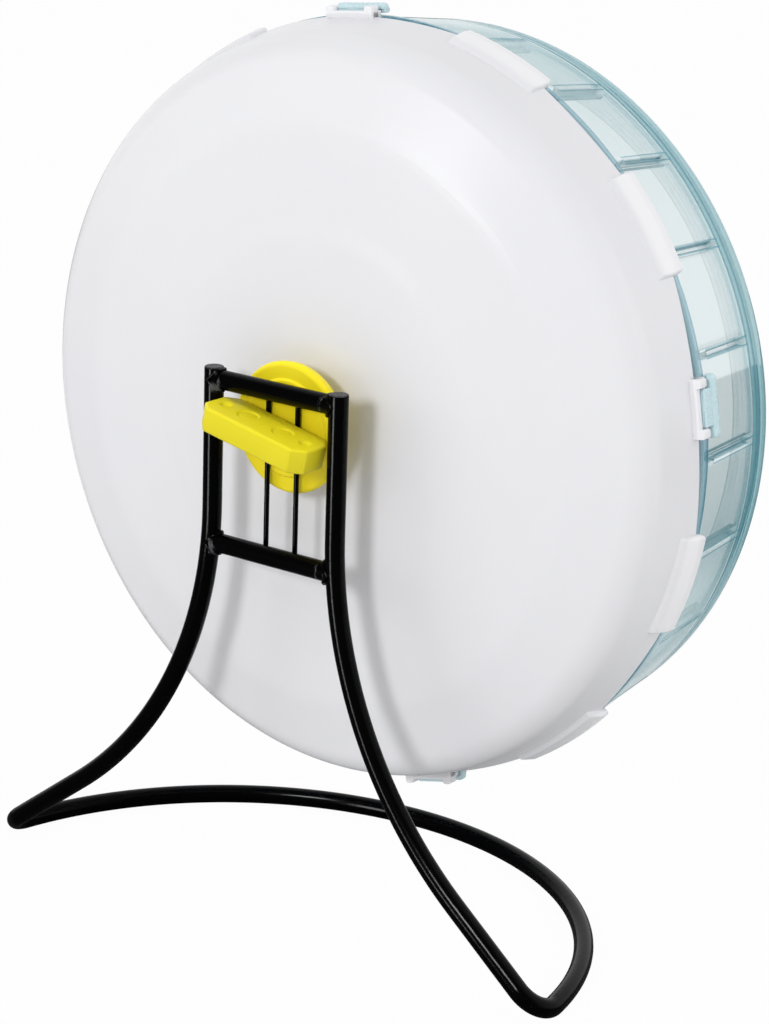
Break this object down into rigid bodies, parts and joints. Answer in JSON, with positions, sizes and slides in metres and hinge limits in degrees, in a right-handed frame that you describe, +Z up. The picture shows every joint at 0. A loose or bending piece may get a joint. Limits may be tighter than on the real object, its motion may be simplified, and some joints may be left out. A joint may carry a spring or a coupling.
{
  "type": "rodent exercise wheel",
  "caption": "Free-standing running wheel for rodents: a dished back shell and a clear track ring on a bearing, held by a screw clamp on a bent rod stand.",
  "frame": {"origin": "on the floor, under the middle of the whole width and depth", "axes": "+Z up, the wheel's open front faces -Y and the stand's uprights and clamp are towards +Y, +X is the left side seen from behind"},
  "size_m": [0.302, 0.1365, 0.3477],
  "materials": {
    "black_coated_steel": "gloss black coating",
    "yellow_plastic": "satin moulded",
    "white_plastic": "semi-gloss moulded",
    "clear_blue_plastic": "clear tinted, gloss",
    "bright_steel": "zinc-plated"
  },
  "bodies": {
    "stand": {"stand_rod": "black_coated_steel", "top_crossbar": "black_coated_steel", "bottom_crossbar": "black_coated_steel", "left_cage_wire": "black_coated_steel", "right_cage_wire": "black_coated_steel", "weld_beads": "black_coated_steel", "clamp_plate": "yellow_plastic", "spacer_sleeve": "bright_steel", "bearing_inner_ring": "bright_steel"},
    "axle": {"axle_bolt": "bright_steel", "axle_washer": "bright_steel"},
    "clamp": {"clamp_bar": "yellow_plastic", "clamp_nut": "bright_steel"},
    "wheel": {"back_shell": "white_plastic", "track_ring": "clear_blue_plastic", "bearing_outer_ring": "bright_steel", "bearing_shields": "bright_steel", "bearing_retainer": "bright_steel", "hub_cap": "yellow_plastic"},
    "bearing_cage": {"bearing_balls": "bright_steel", "ball_cage": "bright_steel"},
    "top_latch": {"latch_clip_top": "clear_blue_plastic"},
    "left_latch": {"latch_clip_left": "clear_blue_plastic"},
    "bottom_latch": {"latch_clip_bottom": "clear_blue_plastic"},
    "right_latch": {"latch_clip_right": "clear_blue_plastic"}
  },
  "joints": [
    {"name": "wheel_spin", "type": "hinge", "parent": "stand", "child": "wheel", "pos_m": [0, 0.01983, 0.196], "axis": [0, 1, 0], "continuous": true},
    {"name": "bearing_cage_spin", "type": "hinge", "parent": "stand", "child": "bearing_cage", "pos_m": [0, 0.01983, 0.196], "axis": [0, 1, 0], "continuous": true},
    {"name": "bolt_turn", "type": "hinge", "parent": "stand", "child": "axle", "pos_m": [0, 0.05133, 0.196], "axis": [0, -1, 0], "range_deg": [0, 2250]},
    {"name": "clamp_slide", "type": "slide", "parent": "stand", "child": "clamp", "axis": [0, 1, 0], "range_m": [0, 0.005]},
    {"name": "top_latch_lift", "type": "hinge", "parent": "wheel", "child": "top_latch", "pos_m": [0.01476, -0.01546, 0.34386], "axis": [0.9951, 0, -0.0993], "range_deg": [0, 12], "stiffness_Nm_per_rad": 0.3},
    {"name": "left_latch_lift", "type": "hinge", "parent": "wheel", "child": "left_latch", "pos_m": [0.14652, -0.01546, 0.17122], "axis": [-0.1668, 0, -0.986], "range_deg": [0, 12], "stiffness_Nm_per_rad": 0.3},
    {"name": "bottom_latch_lift", "type": "hinge", "parent": "wheel", "child": "bottom_latch", "pos_m": [-0.03469, -0.01546, 0.05151], "axis": [-0.9724, 0, 0.2334], "range_deg": [0, 12], "stiffness_Nm_per_rad": 0.3},
    {"name": "right_latch_lift", "type": "hinge", "parent": "wheel", "child": "right_latch", "pos_m": [-0.14648, -0.01546, 0.22104], "axis": [0.1685, 0, 0.9857], "range_deg": [0, 12], "stiffness_Nm_per_rad": 0.3}
  ],
  "couplings": [
    {"joint": "bearing_cage_spin", "follows": "wheel_spin", "ratio": 0.63233},
    {"joint": "bolt_turn", "follows": "clamp_slide", "rad_per_m": 7854}
  ]
}
